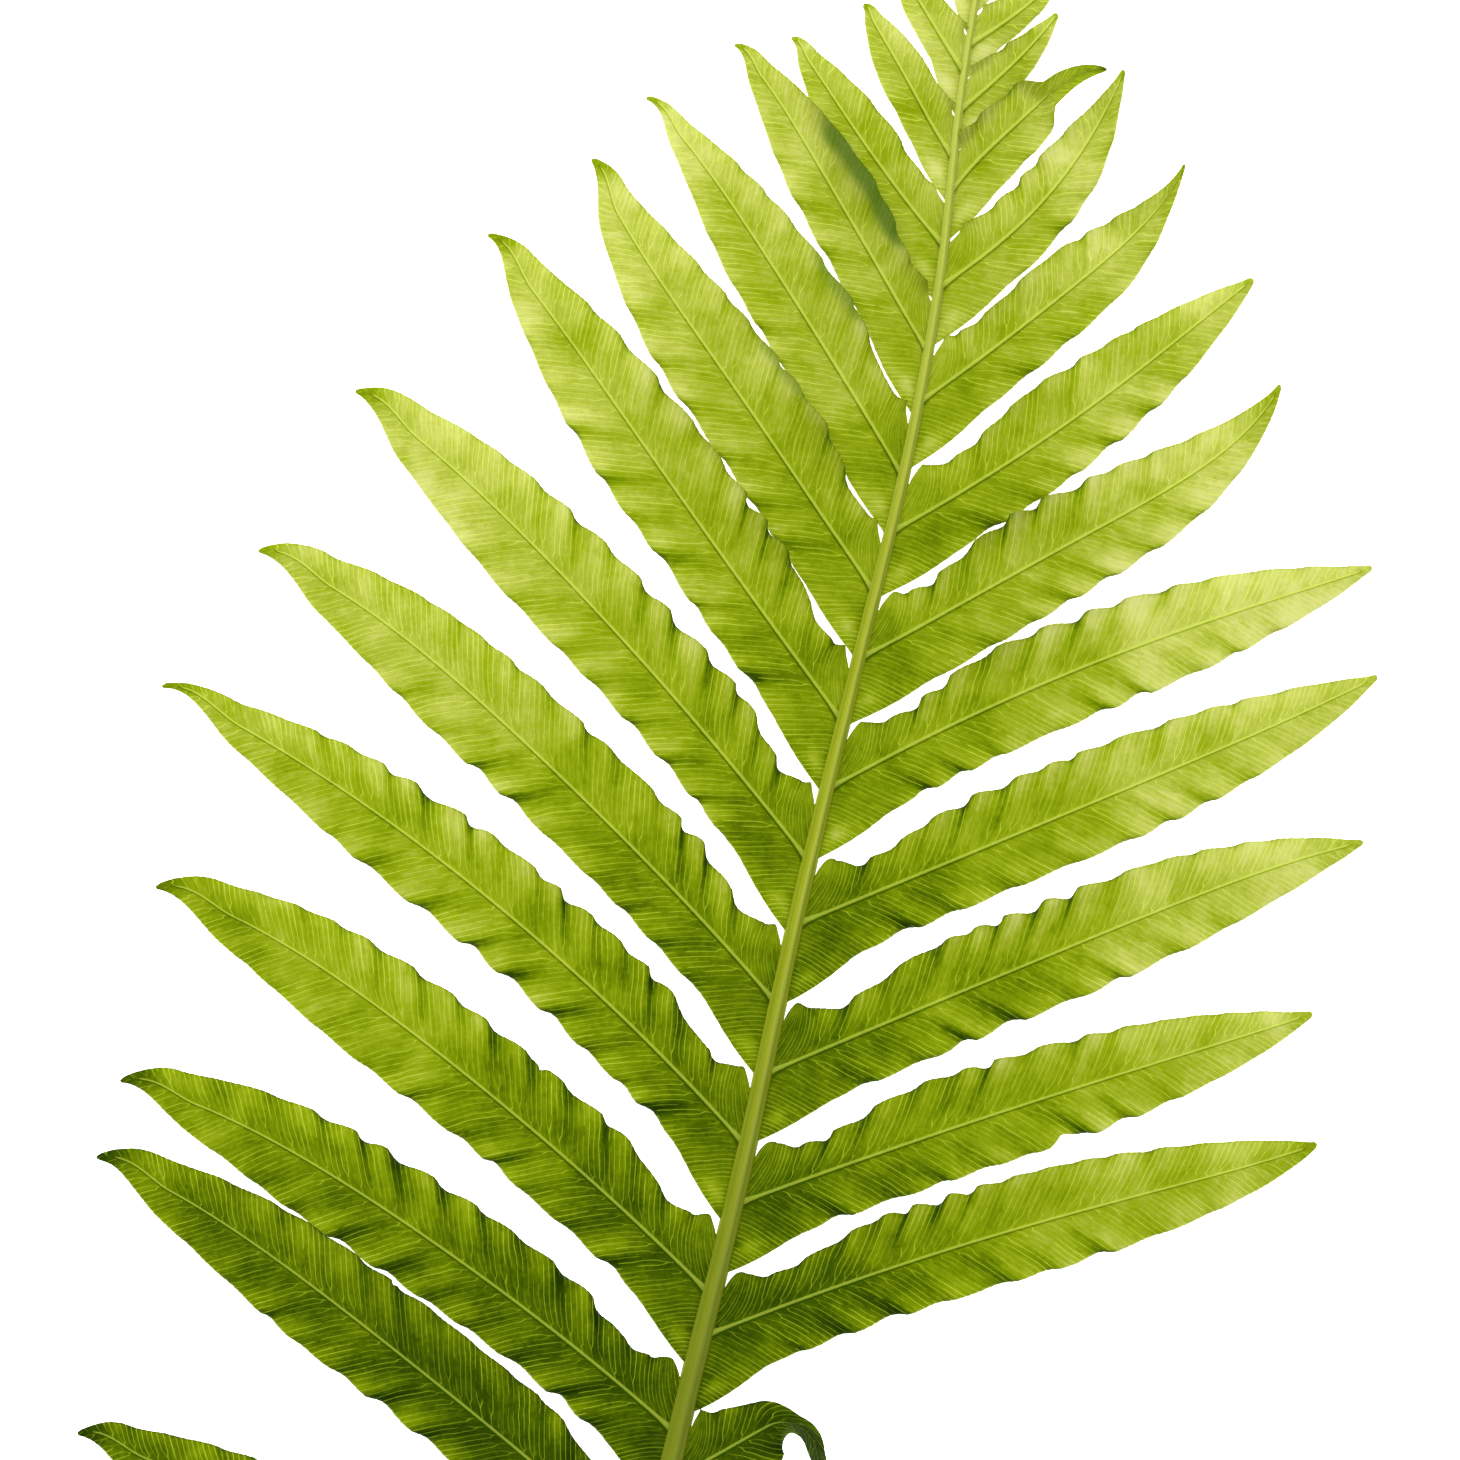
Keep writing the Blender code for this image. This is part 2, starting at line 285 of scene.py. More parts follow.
tip = {
    "length": 32.0,
    "halfWidth": 6.5,
    "taper": 0.7,
    "lobes": 3,
    "lobeDepth": 0.35,
    "lobeStart": 0.3,
    "lean": 1.5,
    "slant": 35.0,
    "droop": 0.6,
    "rows": 150,
    "startBack": 1.0,
    "overrun": 1.4,
    "footShare": 0.3,
    "footGrow": 3.0,
    "wave": 0.35,
    "midribHalf": 0.5,
    "midribTaper": 0.8,
    "midribHeight": 0.3,
    "thickness": 0.3,
    "marginThinner": 0.14,
    "veinLean": 0.9,
    "tone": 0.72,
    "endPaler": 0.05,
    "fold": 0.3,
}


# 0 below 0, 1 above 1, and 3t^2 - 2t^3 between
def ease(t):
    t = np.clip(t, 0.0, 1.0)
    return t * t * (3.0 - 2.0 * t)


# the same step, from the run's start over the run's extent
def easeOver(value, run):
    start, extent = run
    return ease((value - start) / extent)


# nowhere below the least: least + log(1 + e^(sharpness times the height above it)) / sharpness
def softLeast(z, least, sharpness):
    return least + np.log1p(np.exp(sharpness * (z - least))) / sharpness


# a cubic through the knots, its slope at each knot the mean slope of its neighbours
def through(knots, y):
    knots = np.array(knots, dtype=float)
    slopes = np.gradient(knots[:, 1], knots[:, 0])
    y = np.asarray(y, dtype=float)
    i = np.clip(np.searchsorted(knots[:, 0], y) - 1, 0, len(knots) - 2)
    span = knots[i + 1, 0] - knots[i, 0]
    t = (y - knots[i, 0]) / span
    rise = (1 - t) ** 2 * (1 + 2 * t) * knots[i, 1] + t ** 2 * (3 - 2 * t) * knots[i + 1, 1]
    return rise + span * (t * (1 - t) ** 2 * slopes[i] - t ** 2 * (1 - t) * slopes[i + 1])


# how far the rachis's middle is to the side: the cubic through its knots
def sway(y):
    return through(rachis["sway"], y)


# the radius falls in a straight line from the cut to the tip
def rachisRadius(y):
    return rachis["radius"] - rachis["taper"] * np.asarray(y, dtype=float)


# the middle's height: the radius, plus an arch that is a sine to a power along the rachis
def rachisHeight(y):
    share = (np.asarray(y, dtype=float) - rachis["cutY"]) / (rachis["endY"] - rachis["cutY"])
    arch = np.sin(pi * np.clip(share, 0.0, 1.0)) ** rachis["archSharpness"]
    return rachisRadius(y) + rachis["archHeight"] * arch


# the drawing's millimetres to the frame's metres: the rachis is laid on the frame's own rachis
def measureShift():
    low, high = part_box("rachis")
    y = np.linspace(rachis["cutY"], rachis["endY"], 400)
    x = (sway(y) - rachisRadius(y)).min()
    z = (rachisHeight(y) + rachisRadius(y)).max()
    return np.array([low.x / mm - x, high.y / mm - rachis["endY"], high.z / mm - z])


shift = measureShift()
lowestPoint = 0.02 - shift[2]
print("frond: the drawing is moved by", np.round(shift, 3), "mm")


# millimetres in the drawing to metres in the frame: moved, then scaled
def placeOf(points):
    return (points + shift) * mm


# faces are arrays of vertex numbers, one array for quads and one for triangles
def makePiece(name, points, faces, uv, marks):
    mesh = bpy.data.meshes.new(name)
    corners = np.concatenate([block.ravel() for block in faces])
    sizes = np.concatenate([np.full(len(block), block.shape[1]) for block in faces])
    mesh.vertices.add(len(points))
    mesh.vertices.foreach_set("co", placeOf(points).astype(np.float32).ravel())
    mesh.loops.add(len(corners))
    mesh.loops.foreach_set("vertex_index", corners.astype(np.int32))
    mesh.polygons.add(len(sizes))
    starts = np.concatenate([[0], np.cumsum(sizes)[:-1]])
    mesh.polygons.foreach_set("loop_start", starts.astype(np.int32))
    mesh.update(calc_edges=True)
    layer = mesh.uv_layers.new(name="leafMap")
    layer.data.foreach_set("uv", uv[corners].astype(np.float32).ravel())
    for word, values in marks.items():
        mark = mesh.attributes.new(word, "FLOAT", "POINT")
        mark.data.foreach_set("value", values.astype(np.float32).ravel())
    mesh.validate()
    mesh.shade_smooth()
    piece = bpy.data.objects.new(name, mesh)
    bpy.context.scene.collection.objects.link(piece)
    return piece


# a sheet with two faces: the upper grid, the lower grid turned over, and a rim round both
def makeSheet(name, upper, lower, uv, marks, mirrored):
    rows, columns = upper.shape[:2]
    number = np.arange(rows * columns).reshape(rows, columns)
    quads = np.stack([number[:-1, :-1], number[1:, :-1], number[1:, 1:], number[:-1, 1:]], -1)
    quads = quads.reshape(-1, 4)
    under = quads[:, ::-1] + rows * columns
    ring = np.concatenate([number[:-1, 0], number[-1, :-1], number[:0:-1, -1], number[0, :0:-1]])
    after = np.roll(ring, -1)
    rim = np.stack([ring, ring + rows * columns, after + rows * columns, after], -1)
    faces = np.concatenate([quads, under, rim])
    if mirrored:
        faces = faces[:, ::-1]
    points = np.concatenate([upper.reshape(-1, 3), lower.reshape(-1, 3)])
    uv = np.concatenate([uv.reshape(-1, 2)] * 2)
    marks = {word: np.tile(values.ravel(), 2) for word, values in marks.items()}
    return makePiece(name, points, [faces], uv, marks)


# columns across a blade, closer together at the midrib and at the margins
halfColumns = np.array([0.02, 0.045, 0.075, 0.13, 0.21, 0.3, 0.4, 0.5, 0.6, 0.7, 0.79, 0.87,
                        0.93, 0.975, 1.0])
bladeColumns = np.concatenate([-halfColumns[::-1], [0.0], halfColumns])


# half the width: the least of the widest, a line in the length, and a steeper line
def halfWidth(length):
    medium = blade["mediumHalf"] + blade["mediumHalfPerLength"] * length
    short = blade["shortHalf"] + blade["shortHalfPerLength"] * length
    return min(blade["widestHalf"], medium, short)


# the share of the full width left at u, (1 - u^fullness)^blunt: long leaflets stay full for
# longer, and each side has a slight swelling beyond the middle
def outline(leaflet, spec, u):
    length = leaflet["length"]
    fullness = blade["fullness"] + blade["mediumFuller"] * easeOver(length, blade["mediumRun"])
    fullness = fullness + blade["longFuller"] * easeOver(length, blade["longRun"])
    swelling = np.exp(-((u - blade["waist"]) / blade["waistWidth"]) ** 2)
    narrowing = (1.0 - u ** fullness) ** (spec["blunt"] * leaflet["point"])
    return narrowing * (spec["fuller"] + spec["swell"] * swelling)


# A bent midrib runs straight, then round an arc, then straight again. This gives how far on
# it has gone at each distance from its foot, how far down, and how far round.
def bent(name, length, chord):
    if name not in bends:
        return chord, 0.0 * chord, 0.0 * chord
    degrees, first, over = bends[name]
    whole = radians(degrees)
    first = first * length
    over = over * length
    turned = whole * np.clip((chord - first) / over, 0.0, 1.0)
    beyond = np.maximum(chord - first - over, 0.0)
    ahead = np.minimum(chord, first) + over / whole * np.sin(turned) + beyond * cos(whole)
    down = over / whole * (1.0 - np.cos(turned)) + beyond * sin(whole)
    return ahead, down, turned


# how many folds lie between the rachis and each point, and each one's strength there
def foldPhase(along, length, spec, dice):
    leastStep, stepSpread = blade["foldSteps"]
    weakest, spread, power = blade["foldStrengths"]
    marks = [-blade["foldMargin"]]
    while marks[-1] < length + blade["foldMargin"]:
        far = np.clip(marks[-1] / length, 0.0, 1.0)
        step = spec["near"] + (spec["far"] - spec["near"]) * far
        marks.append(marks[-1] + step * (leastStep + stepSpread * dice.random()))
    strengths = weakest + spread * dice.random(len(marks)) ** power
    phase = np.interp(along, marks, np.arange(len(marks)))
    return phase, np.interp(phase, np.arange(len(marks)), strengths)


# distance round a circle of length 1, as a bell of the given half width
def bell(t, middle, width):
    away = t - middle
    away = away - np.round(away)
    return np.exp(-(away / width) ** 2)


# The midrib is a bowed line; ribs cross it, lying along the rachis at its foot and turning
# square to it over the base's reach. A point is on its rib at v times the blade's half width.
def makeLeaflet(name, word, row, above, below, seed):
    leaflet = dict(zip(rankNames, row))
    dice = np.random.default_rng(seed)
    side = -1.0 if word == "left" else 1.0
    length = leaflet["length"]
    base = leaflet["base"]
    angle = radians(leaflet["angle"])
    rows = max(blade["leastRows"], round(length / blade["rowStep"]) + blade["extraRows"])
    u = np.linspace(0.0, 1.0, rows + 1)[:, None]
    close = blade["crowdOver"] / length
    u = u - blade["crowdShare"] * close * (1.0 - np.exp(-u / close))
    u = u / u[-1]
    v = bladeColumns[None, :]
    out = np.abs(v)

    # 4, 12.2 and 6.75 make the bow, the hook and the beak 1 at their highest
    start = blade["startShare"] * rachisRadius(base) / sin(angle)
    skin = rachisRadius(base) / sin(angle)
    chord = start + (length - start) * u
    offset = (4.0 * leaflet["bow"] * u + 12.2 * leaflet["hook"] * u ** 4) * (1.0 - u)
    beakStart, beakOver = blade["beakRun"]
    last = np.clip((u - beakStart) / beakOver, 0.0, 1.0)
    beak = blade[word + "Beak"] * (length / blade["beakLength"])
    offset = offset + beak * 6.75 * last ** 2 * (1.0 - last)
    ahead, down, turned = bent(name, length, chord)
    midX = ahead * sin(angle) - (offset - down) * cos(angle)
    midY = ahead * cos(angle) + (offset - down) * sin(angle)
    along = chord - skin

    slope = leaflet["bow"] * 4.0 * (1.0 - 2.0 * u) / length
    reach = min(blade["baseReach"], blade["leastReach"] + blade["reachPerLength"] * length)
    turn = ease(along / reach)
    rib = np.sign(v) * pi / 2 + turn * (pi / 2 - angle + np.arctan(slope) - turned)

    # The upper edge has an ear, which curves away from the rachis up to a round corner and then
    # falls, and a bay beyond it; where they meet, the fourth root of the sum of their fourth
    # powers rounds the change. The lower edge has a wedge down the rachis.
    full = halfWidth(length) * leaflet["wide"]
    confluent = easeOver(base, blade["confluentRun"])
    attach, corner, earOut, earPower, earRoot = blade[word + "Ear"]
    attach = (attach + (corner - attach) * blade["confluentAttach"] * confluent) * above
    corner = corner * above
    share, spread, delay = blade[word + "Bay"]
    share = share + blade["confluentBay"] * confluent
    bay = share + (1.0 - share) * ease(along / (spread * reach) - delay)
    bay = bay * full * outline(leaflet, folds[(word, 1)], u)
    inward = np.clip(along / (earOut * (1.0 - blade["confluentEar"] * confluent)), 0.0, 1.0)
    ear = attach + (corner - attach) * (1.0 - (1.0 - inward) ** earPower) ** earRoot
    past = np.maximum(along - blade["earFallFrom"] * earOut, 0.0)
    past = np.hypot(past, blade["earRound"])
    ear = ear - blade["earFall"] * (past - blade["earRound"]) * (above / blade["earRoom"])
    upperHalf = (np.maximum(ear, blade["earLeast"]) ** 4 + bay ** 4) ** 0.25
    foot = blade["wedge"] * below
    lowerFull = full * outline(leaflet, folds[(word, -1)], u)
    lowerHalf = foot + (lowerFull - foot) * ease(along / (blade["wedgeReach"] * reach))
    width = np.where(v > 0.0, upperHalf, lowerHalf)

    # folds run out along the veins and fade at the foot and towards the tip; each lifts the margin
    # and carries a painted highlight on one slope and painted shade on the other
    crest = np.zeros_like(width)
    pull = np.zeros_like(width)
    paintedFoldShade = np.zeros_like(width)
    light = np.zeros_like(width)
    size = min(1.0, halfWidth(length) / blade["widestHalf"])
    size = size * (1.0 - blade[word + "Calm"] * easeOver(base, blade["calmRun"]))
    for edge in (1, -1):
        spec = folds[(word, edge)]
        here = np.sign(v) == edge
        origin = along - foldSlant * out * width
        phase, strength = foldPhase(origin, length, spec, dice)
        t = phase - np.floor(phase)
        fade = easeOver(along, blade["foldRun"])
        fade = fade * (1.0 - blade["foldFade"] * easeOver(u, blade["foldFadeRun"]))
        fade = fade * strength * size
        crest = np.where(here, spec["lift"] * fade * np.cos(2 * pi * t ** foldSkew), crest)
        notch = np.sin(pi * t ** blade["pullSkew"]) ** blade["pullPower"]
        pull = np.where(here, spec["pull"] * fade * notch, pull)
        # painted shade on one slope of each fold and a painted highlight on the other
        paintedFoldShade = np.where(here, spec["deep"] * fade * bell(t, *blade["paintedShadeBell"]), paintedFoldShade)
        light = np.where(here, fade * bell(t, *blade["paintedLightBell"]), light)

    # teeth are a saw whose pitch drifts a little
    drift = blade["toothDrift"] * np.sin(blade["toothDriftRate"] * along + seed)
    tooth = along / blade["toothPitch"] + drift
    tooth = (tooth - np.floor(tooth) - 0.5) * blade["toothDepth"]
    tooth = tooth * easeOver(along, blade["toothRun"]) * easeOver(out, blade["toothBand"])
    width = width - pull * ease(along / blade["pullGrow"])
    if name in nicks:
        edge, place, half, depth = nicks[name]
        tear = depth * np.exp(-((along - place) / half) ** 2) * easeOver(out, blade["nickBand"])
        width = width - np.where(np.sign(v) == edge, tear, 0.0)
    width = width + tooth * ease(width / blade["toothWidth"])
    toEnd = np.clip((1.0 - u) * length / blade["tipRound"], 0.0, 1.0)
    blunt = blade["tipRound"] * np.sqrt(toEnd * (2.0 - toEnd))
    width = np.hypot(width, blunt) + blade["leastHalf"]

    degrees, *twistRun = twists.get(name, (0, 0.5, 0.5))
    twist = radians(degrees) * easeOver(u, twistRun)
    roll = radians(blade["tilt"] + leaflet["tilt"]) * turn + twist
    across = out * width
    x = midX + across * np.cos(roll) * np.cos(rib)
    y = base + midY + across * np.cos(roll) * np.sin(rib)
    near = np.exp(-(x / blade["swayReach"]) ** 2)
    beside = base + near * (y - base)
    lean = sway(base) + near * (sway(y) - sway(base))

    # held at the rachis, rising and falling towards the tip, and kept within the frond's height
    held = rachisHeight(beside) + blade["attachShare"] * rachisRadius(beside)
    lift = blade["liftSlope"] * length * u * (1.0 - u)
    turnedUp = np.abs(np.sin(twist)) * width * u ** 2
    wave = np.sin(2 * pi * chord / blade["slowWaveLength"] + v + base)
    z = held * (1.0 - u ** 2) + lift + turnedUp + v * width * np.sin(roll)
    z = z + blade["slowWave"] * wave * turn * v ** 2 * (1.0 - u ** 3)
    z = z + crest * out ** blade["crestPower"]
    z = softLeast(z, blade["lowestMiddle"], blade["lowestSharpness"])
    z = -softLeast(-z, -blade["highestMiddle"], blade["highestSharpness"])

    # the midrib stands proud of both faces and tapers away towards the tip
    ribHalf = blade["midribHalf"] * (1.0 - blade["midribTaper"] * u)
    atFoot = np.exp(-np.maximum(along, 0.0) / blade["midribFootReach"])
    ribHalf = ribHalf + blade["midribFoot"] * atFoot
    ridge = blade["midribHeight"] * (1.0 - u) ** 0.7 * np.exp(-(across / ribHalf) ** 2)
    thick = blade["thickness"] + (blade["marginThickness"] - blade["thickness"]) * out ** 3
    thick = np.minimum(thick, blade["leastThickness"] + 0.5 * width)
    flat = np.stack([side * x + lean, y], axis=-1)
    upper = np.concatenate([flat, (z + thick / 2 + ridge)[..., None]], axis=-1)
    under = np.maximum(z - thick / 2 - blade["midribUnder"] * ridge, lowestPoint)
    lower = np.concatenate([flat, under[..., None]], axis=-1)

    # where each point's vein left the midrib: veins lean outward, more so in the wedge
    leanOut = blade["veinLean"] + blade["wedgeVeinLean"] * (1.0 - turn) * (v < 0.0)
    curved = blade["veinStart"] * (1.0 - np.exp(-across / blade["veinStartReach"]))
    origin = along - leanOut * across - curved

    # paler up the frond and outwards, with painted shade where it is turned and a pale spot in the
    # wedge
    uv = np.stack([np.broadcast_to(along, width.shape), v * width], axis=-1)
    reachOut = np.sqrt(x ** 2 + (y - base) ** 2)
    tone = through(blade["tones"], y) + blade["toneSpread"] * (dice.random() - 0.5)
    paler = blade[word + "Paler"] * (0.5 + 0.5 * easeOver(y, blade["palerLowRun"]))
    paler = paler * (1.0 - blade["palerHighLoss"] * easeOver(y, blade["palerHighRun"]))
    tone = tone + paler * easeOver(reachOut, blade["palerOutRun"])
    # painted shade on an end turned edge-on
    tone = tone - blade["twistShade"] * np.abs(np.sin(twist)) * u ** 2
    tone = tone - blade[word + "TipDim"] * easeOver(u, blade["tipDimRun"])
    spotX = (along - blade["spotAlong"]) / blade["spotSize"]
    spotY = (across - foot + blade["spotInside"]) / blade["spotSize"]
    tone = tone + blade["spotPaler"] * np.exp(-(spotX ** 2 + spotY ** 2)) * (v < 0.0)
    # painted shade where the leaflet lies over its neighbour; the folds' painted light and shade
    # give way to it there
    double = np.zeros_like(width)
    if name in overlaps:
        edge, low, high, deep, dim = overlaps[name]
        band = ease((along - low) / blade["overlapEnd"])
        band = band * ease((high - along) / blade["overlapEnd"])
        inside = (deep * band - width * (1.0 - out)) / blade["overlapSoft"]
        band = band * ease(inside) * (np.sign(v) == edge)
        double = dim * band
        paintedFoldShade = paintedFoldShade * (1.0 - band)
        light = light * (1.0 - band)
    # the folds' painted highlight and painted shade, strongest towards the margin
    paintedCrestLight = blade["foldLight"] * light * out ** 1.2
    paintedCrestShade = blade["foldDark"] * paintedFoldShade * out ** blade["crestPower"]
    marks = {
        "origin": origin,
        "tone": np.broadcast_to(tone, width.shape),
        "fold": paintedCrestLight - paintedCrestShade,
        # a painted shadow line along the margin where the folds' painted shade reaches it
        "curl": paintedFoldShade * out ** 4,
        "double": double,
        "edge": width * (1.0 - out) + easeOver(u, blade["endEdgeRun"]),
        "rib": across / ribHalf + blade["ribEnd"] * easeOver(u, blade["ribEndRun"]),
    }
    piece = makeSheet(name, upper, lower, uv, marks, word == "left")
    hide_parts(name)
    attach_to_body(piece, "root")
    return piece


# The lobed tip: slanting ribs on an axis that carries the rachis on. The half width falls as a
# power of what is left of the length, and a cosine along it makes the lobes.
def makeTip(name):
    u = np.linspace(0.0, 1.0, tip["rows"] + 1)[:, None]
    v = bladeColumns[None, :]
    out = np.abs(v)
    y = rachis["endY"] - tip["startBack"] + (tip["length"] + tip["overrun"]) * u
    phase = 2 * pi * (tip["lobes"] * u - tip["lobeStart"])
    lobes = 1.0 + tip["lobeDepth"] * (1.0 - u) * np.cos(phase)
    half = tip["halfWidth"] * (1.0 - u) ** tip["taper"] * lobes
    half = half * ease(tip["footShare"] + tip["footGrow"] * u)
    width = np.maximum(half, blade["endHalf"]) + 0.0 * v
    slant = radians(tip["slant"]) * (1.0 - u)
    x = sway(rachis["endY"]) + tip["lean"] * u + v * width * np.cos(slant)
    z = rachisHeight(rachis["endY"]) * (1.0 - tip["droop"] * u) + 0.0 * v
    z = z + tip["wave"] * out ** 2 * np.sin(phase) * (1.0 - u)
    along = (tip["length"] + tip["overrun"]) * u + 0.0 * v
    ribHalf = tip["midribHalf"] * (1.0 - tip["midribTaper"] * u) + 0.0 * v
    ridge = tip["midribHeight"] * (1.0 - u) * np.exp(-(out * width / ribHalf) ** 2)
    thick = tip["thickness"] - tip["marginThinner"] * out ** 3
    thick = np.minimum(thick, blade["leastThickness"] + 0.5 * width)
    flat = np.stack([x, y + out * width * np.sin(slant)], axis=-1)
    upper = np.concatenate([flat, (z + thick / 2 + ridge)[..., None]], axis=-1)
    under = np.maximum(z - thick / 2 - ridge, lowestPoint)
    lower = np.concatenate([flat, under[..., None]], axis=-1)
    uv = np.stack([along, v * width], axis=-1)
    marks = {
        "origin": along - tip["veinLean"] * out * width,
        "tone": tip["tone"] + tip["endPaler"] * u + 0.0 * v,
        # paler on each lobe and darker between them
        "fold": tip["fold"] * np.cos(phase) * out,
        "curl": np.zeros_like(width),
        "double": np.zeros_like(width),
        "edge": width * (1.0 - out),
        "rib": out * width / ribHalf,
    }
    # the columns run from left to right here as on a right-hand leaflet turned up
    piece = makeSheet(name, upper, lower, uv, marks, True)
    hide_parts(name)
    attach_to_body(piece, "root")
    return piece


# The rachis: a profile with a ridge and two grooves on top and a flatter underside, carried
# along the sway. Ridge, grooves and underside are bells round the section.
def makeRachis(name):
    count = round((rachis["endY"] - rachis["cutY"]) / rachis["rowStep"])
    y = np.linspace(rachis["cutY"], rachis["endY"], count + 1)
    columns = rachis["columns"]
    around = np.linspace(-pi, pi, columns, endpoint=False)
    turn = np.abs(around)
    ridge = rachis["ridgeHeight"] * np.exp(-(turn / rachis["ridgeWidth"]) ** 2)
    offGroove = (turn - rachis["grooveAt"]) / rachis["grooveWidth"]
    groove = rachis["grooveDepth"] * np.exp(-offGroove ** 2)
    keel = rachis["keelDepth"] * np.exp(-((turn - pi) / rachis["keelWidth"]) ** 2)
    profile = (1.0 + ridge - groove - keel) * rachis["profileShare"]
    wander = sum(size * np.sin(y * rate + phase) for size, rate, phase in rachis["wanders"])
    radius = rachisRadius(y)[:, None] * (profile[None, :] + wander[:, None])

    # each end is closed by smaller and smaller rings that meet in a point
    inner = np.array(rachis["endShares"])
    extra = len(inner)
    farEnd = y[-1] + rachis["endOverrun"]
    ringY = np.concatenate([np.full(extra, y[0]), y, np.full(extra, farEnd)])
    shares = np.concatenate([inner, np.ones(len(y)), inner[::-1]])
    rings = np.concatenate([radius[:1]] * extra + [radius] + [radius[-1:]] * extra)
    rings = rings * shares[:, None]
    x = sway(ringY)[:, None] + rings * np.sin(around)[None, :]
    z = rachisHeight(ringY)[:, None] + rings * np.cos(around)[None, :]
    z = np.maximum(z, lowestPoint)
    grid = np.stack([x, np.broadcast_to(ringY[:, None], x.shape), z], axis=-1)
    poles = np.array([[sway(e), e, rachisHeight(e)] for e in (ringY[0], ringY[-1])], float)
    points = np.concatenate([grid.reshape(-1, 3), poles])

    total = len(ringY)
    number = np.arange(total * columns).reshape(total, columns)
    right = np.roll(number, -1, axis=1)
    quads = np.stack([number[:-1], right[:-1], right[1:], number[1:]], -1).reshape(-1, 4)
    first = np.full(columns, total * columns)
    last = first + 1
    caps = np.concatenate([
        np.stack([first, right[0], number[0]], -1),
        np.stack([last, number[-1], right[-1]], -1),
    ])
    share = np.broadcast_to((around / pi)[None, :], x.shape)
    uv = np.stack([np.broadcast_to(ringY[:, None], x.shape), share], -1).reshape(-1, 2)
    uv = np.concatenate([uv, [[ringY[0], 0.0], [ringY[-1], 0.0]]])
    core = np.broadcast_to(shares[:, None], x.shape)
    marks = {
        "top": np.concatenate([np.broadcast_to(turn[None, :], x.shape).ravel(), [0.0, 0.0]]),
        "core": np.concatenate([core.ravel(), [0.0, 0.0]]),
    }
    piece = makePiece(name, points, [quads, caps], uv, marks)
    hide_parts("rachis")
    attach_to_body(piece, "root")
    return piece


# A socket's value. Arithmetic on values adds Math nodes to the finish they belong to.
class Value:
    def __init__(self, finish, socket):
        self.finish = finish
        self.socket = socket

    def __add__(self, other):
        return self.finish.maths("ADD", self, other)

    __radd__ = __add__

    def __sub__(self, other):
        return self.finish.maths("SUBTRACT", self, other)

    def __rsub__(self, other):
        return self.finish.maths("SUBTRACT", other, self)

    def __mul__(self, other):
        return self.finish.maths("MULTIPLY", self, other)

    __rmul__ = __mul__

    def __truediv__(self, other):
        return self.finish.maths("DIVIDE", self, other)

    def __abs__(self):
        return self.finish.maths("ABSOLUTE", self)


# A material and its tree. Each method adds one node, or a few, and gives back its value.
class Finish:
    def __init__(self, name):
        self.material = bpy.data.materials.new(name)
        self.material.use_nodes = True
        self.tree = self.material.node_tree
        self.tree.nodes.clear()

    # kind of node, its settings (set first), then values or links for its sockets
    def node(self, kind, settings=None, sockets=None, output=0):
        made = self.tree.nodes.new(kind)
        for word, setting in (settings or {}).items():
            if word == "stops":
                ramp = made.color_ramp.elements
                while len(ramp) < len(setting):
                    ramp.new(0.5)
                for stop, (place, colour) in zip(ramp, setting):
                    stop.position = place
                    stop.color = (*colour, 1.0)
            else:
                setattr(made, word, setting)
        for word, given in (sockets or {}).items():
            if isinstance(given, Value):
                self.tree.links.new(given.socket, made.inputs[word])
            else:
                made.inputs[word].default_value = given
        return Value(self, made.outputs[output])

    # one Math node, its terms values or numbers
    def maths(self, operation, *terms):
        return self.node("ShaderNodeMath", {"operation": operation}, dict(enumerate(terms)))

    # 0 at low, 1 at high, smooth between; low may be the larger
    def smooth(self, value, low, high):
        sockets = {"Value": value, "From Min": low, "From Max": high}
        return self.node("ShaderNodeMapRange", {"interpolation_type": "SMOOTHSTEP"}, sockets)

    # a number stored on the mesh's points
    def mark(self, word):
        return self.node("ShaderNodeAttribute", {"attribute_name": word}, output="Fac")

    # the two parts of the map: millimetres along and across, or round for the rachis
    def mapParts(self):
        place = self.node("ShaderNodeUVMap", {"uv_map": "leafMap"})
        parts = self.node("ShaderNodeSeparateXYZ", None, {0: place})
        return parts, Value(self, parts.socket.node.outputs[1])

    def point(self, x, y, z):
        return self.node("ShaderNodeCombineXYZ", None, {0: x, 1: y, 2: z})

    def noise(self, place, scale, detail=2.0, roughness=0.5):
        sockets = {"Vector": place, "Scale": scale, "Detail": detail, "Roughness": roughness}
        return self.node("ShaderNodeTexNoise", {"noise_dimensions": "3D"}, sockets)

    # the first colour at share 0, the second at 1
    def blend(self, share, first, second):
        first = first if isinstance(first, Value) else (*first, 1.0)
        second = second if isinstance(second, Value) else (*second, 1.0)
        return self.node("ShaderNodeMix", {"data_type": "RGBA"},
                         {0: share, 6: first, 7: second}, output=2)

    def mixShaders(self, share, first, second):
        return self.node("ShaderNodeMixShader", None, {0: share, 1: first, 2: second})

    def finish(self, shader):
        end = self.tree.nodes.new("ShaderNodeOutputMaterial")
        self.tree.links.new(shader.socket, end.inputs[0])
        return self.material


